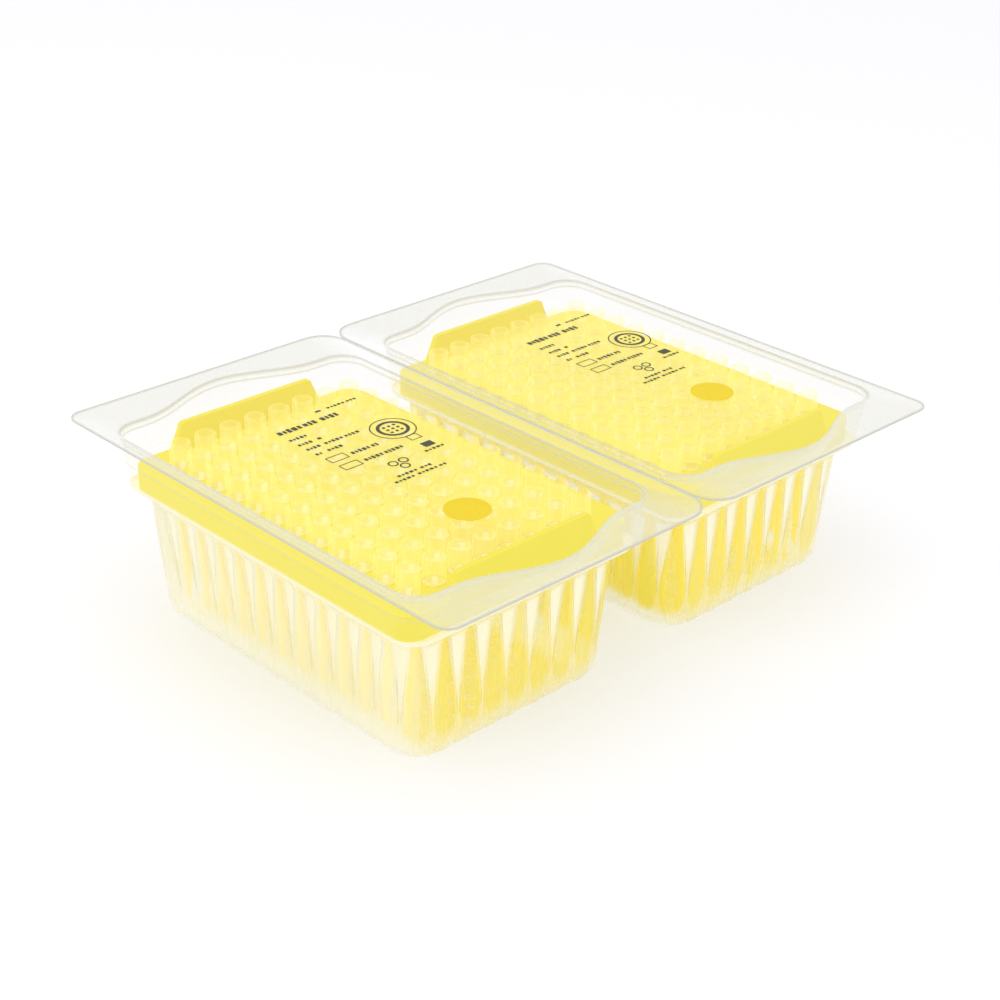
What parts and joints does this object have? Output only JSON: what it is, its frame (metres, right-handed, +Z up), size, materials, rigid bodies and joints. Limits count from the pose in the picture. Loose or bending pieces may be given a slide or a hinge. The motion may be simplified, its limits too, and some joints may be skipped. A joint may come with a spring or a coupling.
{
  "type": "twin refill pack of pipette tips",
  "caption": "Twin refill pack of laboratory pipette tips: two clear fluted cups on one snap-apart flange, each with a tip rack under sealed film.",
  "frame": {"origin": "middle of the twin pack, on the surface that it stands on", "axes": "+X along a row of tips, +Y from the front cup to the rear cup, +Z up"},
  "size_m": [0.1654, 0.1978, 0.0582],
  "materials": {
    "tray_sheet": "clear thermoformed sheet",
    "lid_film": "clear heat-sealed film",
    "rack": "moulded",
    "tip": "natural translucent polypropylene",
    "dot": "printed patch"
  },
  "bodies": {
    "root": {"twin_tray": "tray_sheet", "lid_film_front": "lid_film", "lid_film_rear": "lid_film", "tip_rack_front": "rack", "tip_rack_rear": "rack", "indicator_dot_front": "dot", "indicator_dot_rear": "dot", "tip_row_front_1": "tip", "tip_row_front_2": "tip", "tip_row_front_3": "tip", "tip_row_front_4": "tip", "tip_row_front_5": "tip", "tip_row_front_6": "tip", "tip_row_front_7": "tip", "tip_row_front_8": "tip", "tip_row_rear_1": "tip", "tip_row_rear_2": "tip", "tip_row_rear_3": "tip", "tip_row_rear_4": "tip", "tip_row_rear_5": "tip", "tip_row_rear_6": "tip", "tip_row_rear_7": "tip", "tip_row_rear_8": "tip"}
  },
  "joints": []
}
